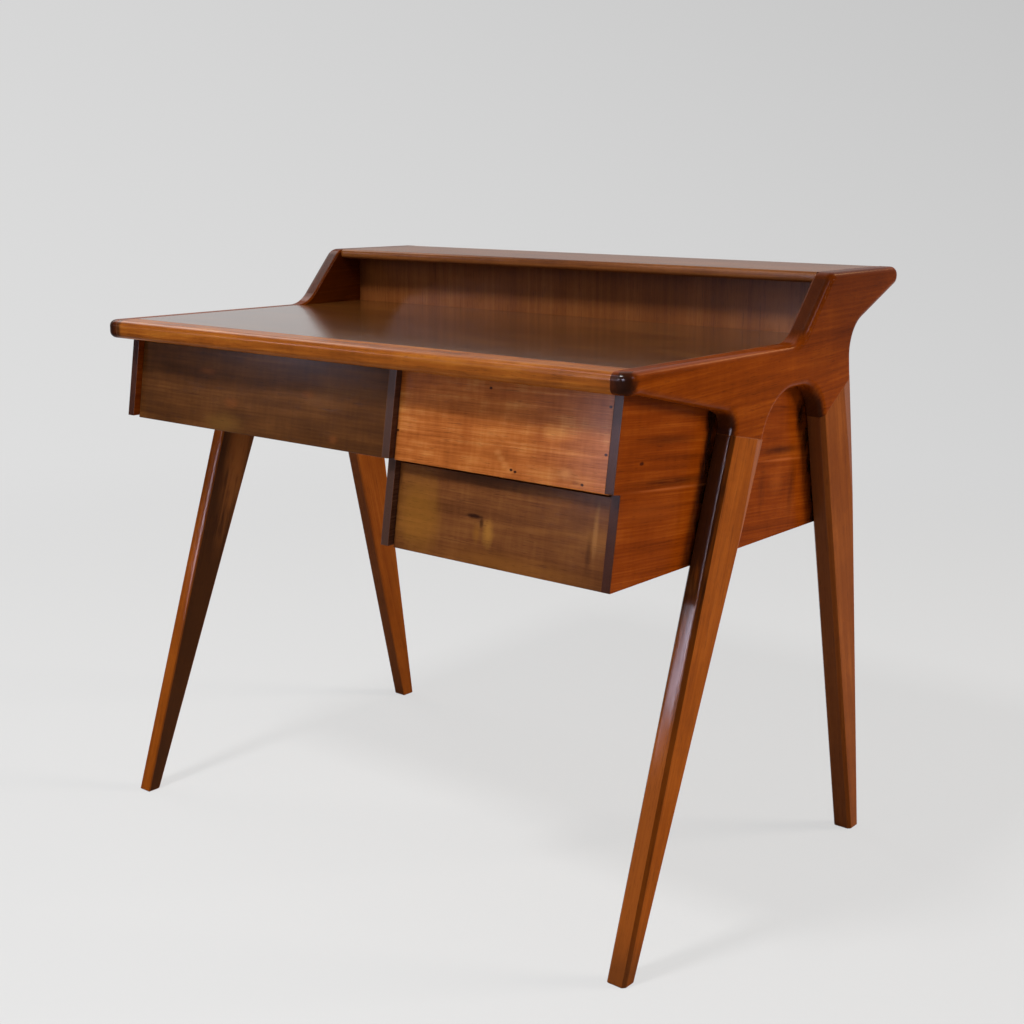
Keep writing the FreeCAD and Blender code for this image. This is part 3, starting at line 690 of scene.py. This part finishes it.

# %% [markdown]
# ## Case boards
# The right case side, which the camera sees, is as warm as the frame. Dark streaks with a light
# line under them run across it, and softer bands stand upright between the legs. The narrow gap
# beside each leg lies in deep shade, so almost black marks of painted shadow follow the inner
# edge of the frame. The front edges of the case boards are end grain and darker from handling.
# The partition is the board between the left drawer and the right ones.

# %% Case boards
# X of the outer face of the right case side.
side_face = 453
# Y and Z along the gap beside each leg, where the painted shadow lies.
painted_shadow_line = ((-148, 505), (-139, 545), (-130, 585), (-122, 625), (-116, 660), (-114, 690),
            (163, 508), (155, 545), (145, 585), (132, 625), (115, 658))
# Almost black painted shadow along that gap.
side_marks = [((side_face, y, z), (18, 40, 44), "0C0502", 0.88, 0.9) for y, z in painted_shadow_line]
side_marks += [((side_face, -265, 645.3), (6, 3, 3), "240E06", 0.8, 0.6),
              ((side_face, -210, 667), (100, 30, 9), "3A1404", 0.6, 1.0),
              ((side_face, -195, 614), (150, 30, 8), "2E1004", 0.75, 1.0),
              ((side_face, -200, 606), (130, 30, 3), "B8622A", 0.5, 1.0),
              ((side_face, -250, 585), (110, 30, 22), "8E4210", 0.5, 1.0),
              ((side_face, 62, 617), (90, 30, 9), "2E1004", 0.7, 1.0),
              ((side_face, 66, 603), (90, 30, 3), "B8622A", 0.55, 1.0),
              ((side_face, 16, 572), (14, 30, 44), "4A1E08", 0.4, 1.0),
              ((side_face, 96, 562), (16, 30, 56), "3A1404", 0.45, 1.0),
              ((side_face, 55, 576), (28, 30, 30), "A85418", 0.35, 1.0)]
case_shares = {"rings": 0.08, "streaks": 0.28, "lines": 0.2, "cloud": 0.25, "ripple": 0.06}
case_side = wood("lacquered walnut of the case side", ("4E1C02", "7A3204", "984A10"),
                 grain=(0, 1, -0.09), heart=(60, 30), start=(450, -100, 620),
                 shares=case_shares, marks=side_marks, coat=0.45, ends="34201A",
                 end_strength=0.9)
finish(case_side, "case_side_right", "case_side_left")
partition = wood("lacquered walnut of the partition", ("2E1710", "4E2E20", "6A4430"),
                 grain=(0, 1, 0), heart=(60, 30), start=(80, -100, 620), shares=case_shares,
                 ends="4A342C", end_strength=0.9)
finish(partition, "partition")

# %% [markdown]
# ## The back
# The panel behind the desktop is laid with its grain upright, in wide dark and reddish bands.
# It is duller than the desktop, so its coat is thinner.

# %% Back panels
veneer_shares = {"rings": 0.04, "streaks": 0.14, "lines": 0.12, "cloud": 0.4, "ripple": 0.04}
back = wood("upright walnut veneer of the back", ("50260E", "78441F", "965E34"),
            grain=(0, 0, 1), heart=(40, 260), start=(0, 180, 700), ring=16.0,
            shares=veneer_shares, cloud=(500, 70, 70), coat=0.4)
finish(back, "back_panel", "pedestal_back")

# %% [markdown]
# ## Beech inside
# What is hidden while the drawers are shut is plain beech: drawer sides and bottoms, strips,
# tenons and the boards between the drawers. It is bare, pale and finely flecked. The function
# for walnut makes it too, with beech's tones and hardly any coat. Boards that run front to back
# get a material of their own, so the grain follows their length.

# %% Beech pieces
walnut_nodes = {"desktop", "front_rail", "upper_shelf", "shelf_lipping", "partition",
                "upper_drawer_front", "lower_drawer_front", "left_drawer_front", "back_panel",
                "pedestal_back"}
for pair in ("shoulder", "front_leg", "rear_leg", "case_side"):
    walnut_nodes |= {pair + "_right", pair + "_left"}
beech_tones = ("9C7448", "B98F5F", "CDA878")
beech_look = {"shares": {"rings": 0.06, "streaks": 0.12, "lines": 0.2, "cloud": 0.15, "ripple": 0.02},
              "gloss": 0.5, "coat": 0.15, "ends": "8A6440", "dashes": 0.2}
beech = wood("bare beech", beech_tones, heart=(80, 40), start=(0, 0, 600), **beech_look)
beech_along = wood("bare beech, grain front to back", beech_tones, grain=(0, 1, 0),
                   heart=(80, 40), start=(0, 0, 600), **beech_look)
lengthwise = [n for n in nodes if n.endswith(("side_left", "side_right")) and "drawer" in n]
lengthwise += [n for n in nodes if n.startswith("runners") or n == "kicker_strips"]
finish(beech_along, *sorted(lengthwise))
finish(beech, *sorted(set(nodes) - walnut_nodes - set(lengthwise)))
